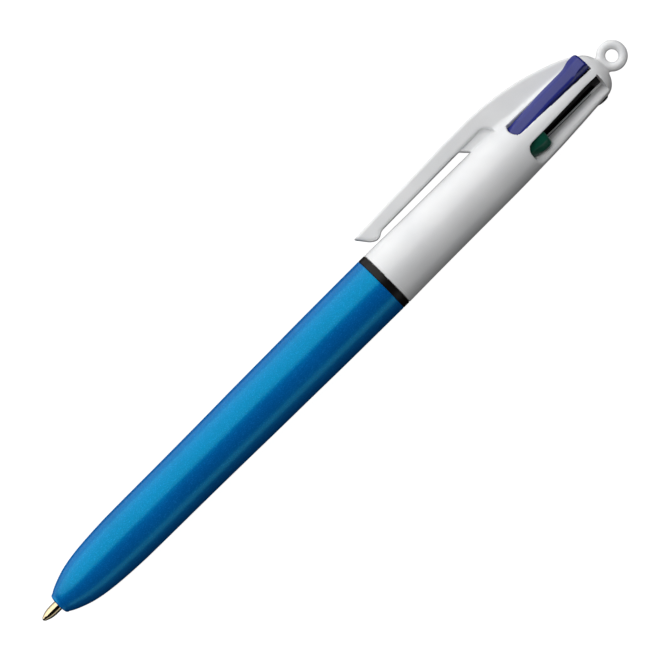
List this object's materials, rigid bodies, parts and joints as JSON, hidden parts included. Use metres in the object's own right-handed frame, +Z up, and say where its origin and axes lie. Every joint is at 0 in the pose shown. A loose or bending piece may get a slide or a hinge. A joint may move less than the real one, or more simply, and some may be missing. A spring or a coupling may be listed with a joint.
{
  "type": "multicolor click pen",
  "caption": "Click pen with a blue barrel, white upper barrel with clip and lanyard ring, and coloured thumb sliders that push separate refills out of the nose.",
  "frame": {"origin": "Middle of the length and width of the lying pen, on the surface that it lies on", "axes": "+X along the pen from the writing point to the lanyard ring, +Y to the side where the clip comes down beside the barrel, +Z up from the surface that the pen lies on"},
  "size_m": [0.15, 0.0166, 0.0126],
  "materials": {
    "blue_plastic": "gloss",
    "white_plastic": "gloss",
    "black_plastic": "satin",
    "indigo_plastic": "gloss",
    "green_plastic": "gloss",
    "red_plastic": "gloss",
    "natural_plastic": "satin",
    "spring_steel": "bright",
    "brass": "polished",
    "ball_carbide": "polished",
    "ink_blue": "translucent",
    "ink_green": "translucent",
    "ink_black": "translucent",
    "ink_red": "translucent"
  },
  "bodies": {
    "root": {"upper_barrel": "white_plastic", "end_cap": "white_plastic", "latch_post": "black_plastic", "spring_guide": "natural_plastic", "band_ring": "black_plastic", "return_spring_blue": "spring_steel", "return_spring_green": "spring_steel", "return_spring_black": "spring_steel", "return_spring_red": "spring_steel"},
    "lower_barrel": {"lower_barrel": "blue_plastic"},
    "clip_arm": {"clip_arm": "white_plastic"},
    "slider_blue": {"slider_blue": "indigo_plastic"},
    "refill_blue": {"ink_tube_blue": "ink_blue", "writing_tip_blue": "brass", "tip_ball_blue": "ball_carbide"},
    "slider_green": {"slider_green": "green_plastic"},
    "refill_green": {"ink_tube_green": "ink_green", "writing_tip_green": "brass", "tip_ball_green": "ball_carbide"},
    "slider_black": {"slider_black": "black_plastic"},
    "refill_black": {"ink_tube_black": "ink_black", "writing_tip_black": "brass", "tip_ball_black": "ball_carbide"},
    "slider_red": {"slider_red": "red_plastic"},
    "refill_red": {"ink_tube_red": "ink_red", "writing_tip_red": "brass", "tip_ball_red": "ball_carbide"}
  },
  "joints": [
    {"name": "lower_barrel_pull", "type": "slide", "parent": "root", "child": "lower_barrel", "axis": [-1, 0, 0], "range_m": [0, 0.095]},
    {"name": "clip_flex", "type": "hinge", "parent": "root", "child": "clip_arm", "pos_m": [0.0396, 0.00741, 0.00232], "axis": [0, -0.4226, -0.9063], "range_deg": [0, 6], "stiffness_Nm_per_rad": 0.3},
    {"name": "press_blue", "type": "slide", "parent": "root", "child": "slider_blue", "axis": [-0.9948, -0.0961, -0.035], "range_m": [0, 0.01417], "stiffness_N_per_m": 60, "springref_m": -0.01, "deforming": ["return_spring_blue"]},
    {"name": "bend_blue", "type": "hinge", "parent": "slider_blue", "child": "refill_blue", "pos_m": [0.043, 0.00094, 0.00764], "axis": [0, -0.342, 0.9397], "range_deg": [0, 0.43], "deforming": ["ink_tube_blue", "writing_tip_blue", "tip_ball_blue"]},
    {"name": "press_green", "type": "slide", "parent": "root", "child": "slider_green", "axis": [-0.9948, 0.035, -0.0961], "range_m": [-0.01417, 0], "deforming": ["return_spring_green"]},
    {"name": "bend_green", "type": "hinge", "parent": "slider_green", "child": "refill_green", "pos_m": [0.0289, -0.00234, 0.00804], "axis": [0, -0.9397, -0.342], "range_deg": [-0.43, 0], "deforming": ["ink_tube_green", "writing_tip_green", "tip_ball_green"]},
    {"name": "press_black", "type": "slide", "parent": "root", "child": "slider_black", "axis": [-0.9948, 0.0961, 0.035], "range_m": [0, 0.01417], "stiffness_N_per_m": 60, "springref_m": -0.01, "deforming": ["return_spring_black"]},
    {"name": "bend_black", "type": "hinge", "parent": "slider_black", "child": "refill_black", "pos_m": [0.043, -0.0046, 0.00562], "axis": [0, 0.342, -0.9397], "range_deg": [0, 0.43], "deforming": ["ink_tube_black", "writing_tip_black", "tip_ball_black"]},
    {"name": "press_red", "type": "slide", "parent": "root", "child": "slider_red", "axis": [-0.9948, -0.035, 0.0961], "range_m": [0, 0.01417], "stiffness_N_per_m": 60, "springref_m": -0.01, "deforming": ["return_spring_red"]},
    {"name": "bend_red", "type": "hinge", "parent": "slider_red", "child": "refill_red", "pos_m": [0.043, -0.00082, 0.00386], "axis": [0, 0.9397, 0.342], "range_deg": [0, 0.43], "deforming": ["ink_tube_red", "writing_tip_red", "tip_ball_red"]}
  ],
  "couplings": [
    {"joint": "bend_blue", "follows": "press_blue", "rad_per_m": 0.5092},
    {"joint": "bend_green", "follows": "press_green", "rad_per_m": 0.5092},
    {"joint": "bend_black", "follows": "press_black", "rad_per_m": 0.5092},
    {"joint": "bend_red", "follows": "press_red", "rad_per_m": 0.5092}
  ]
}
